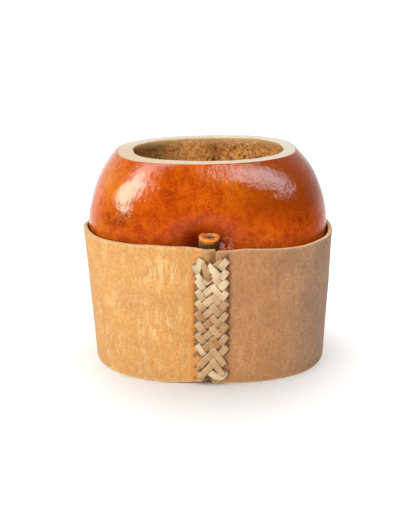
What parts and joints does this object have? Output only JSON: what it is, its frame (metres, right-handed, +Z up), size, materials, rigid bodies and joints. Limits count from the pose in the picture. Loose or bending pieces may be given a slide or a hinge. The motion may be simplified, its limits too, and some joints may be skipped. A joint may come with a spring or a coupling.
{
  "type": "mate gourd cup",
  "caption": "Flattened calabash gourd cup, cut open at the top and empty, standing in a laced leather sleeve.",
  "frame": {"origin": "on the ground, under the middle of the cup's overall box", "axes": "+Z up, -Y towards the laced front, +X to the right seen from the front"},
  "size_m": [0.1, 0.0752, 0.0855],
  "materials": {
    "gourd": "glossy lacquer on the skin, raw cut rim and fibrous inside",
    "leather": "matt tanned leather with cut edges",
    "rawhide": "satin rawhide lace"
  },
  "bodies": {
    "root": {"gourd": "gourd", "sleeve": "leather", "lacing": "rawhide"}
  },
  "joints": []
}
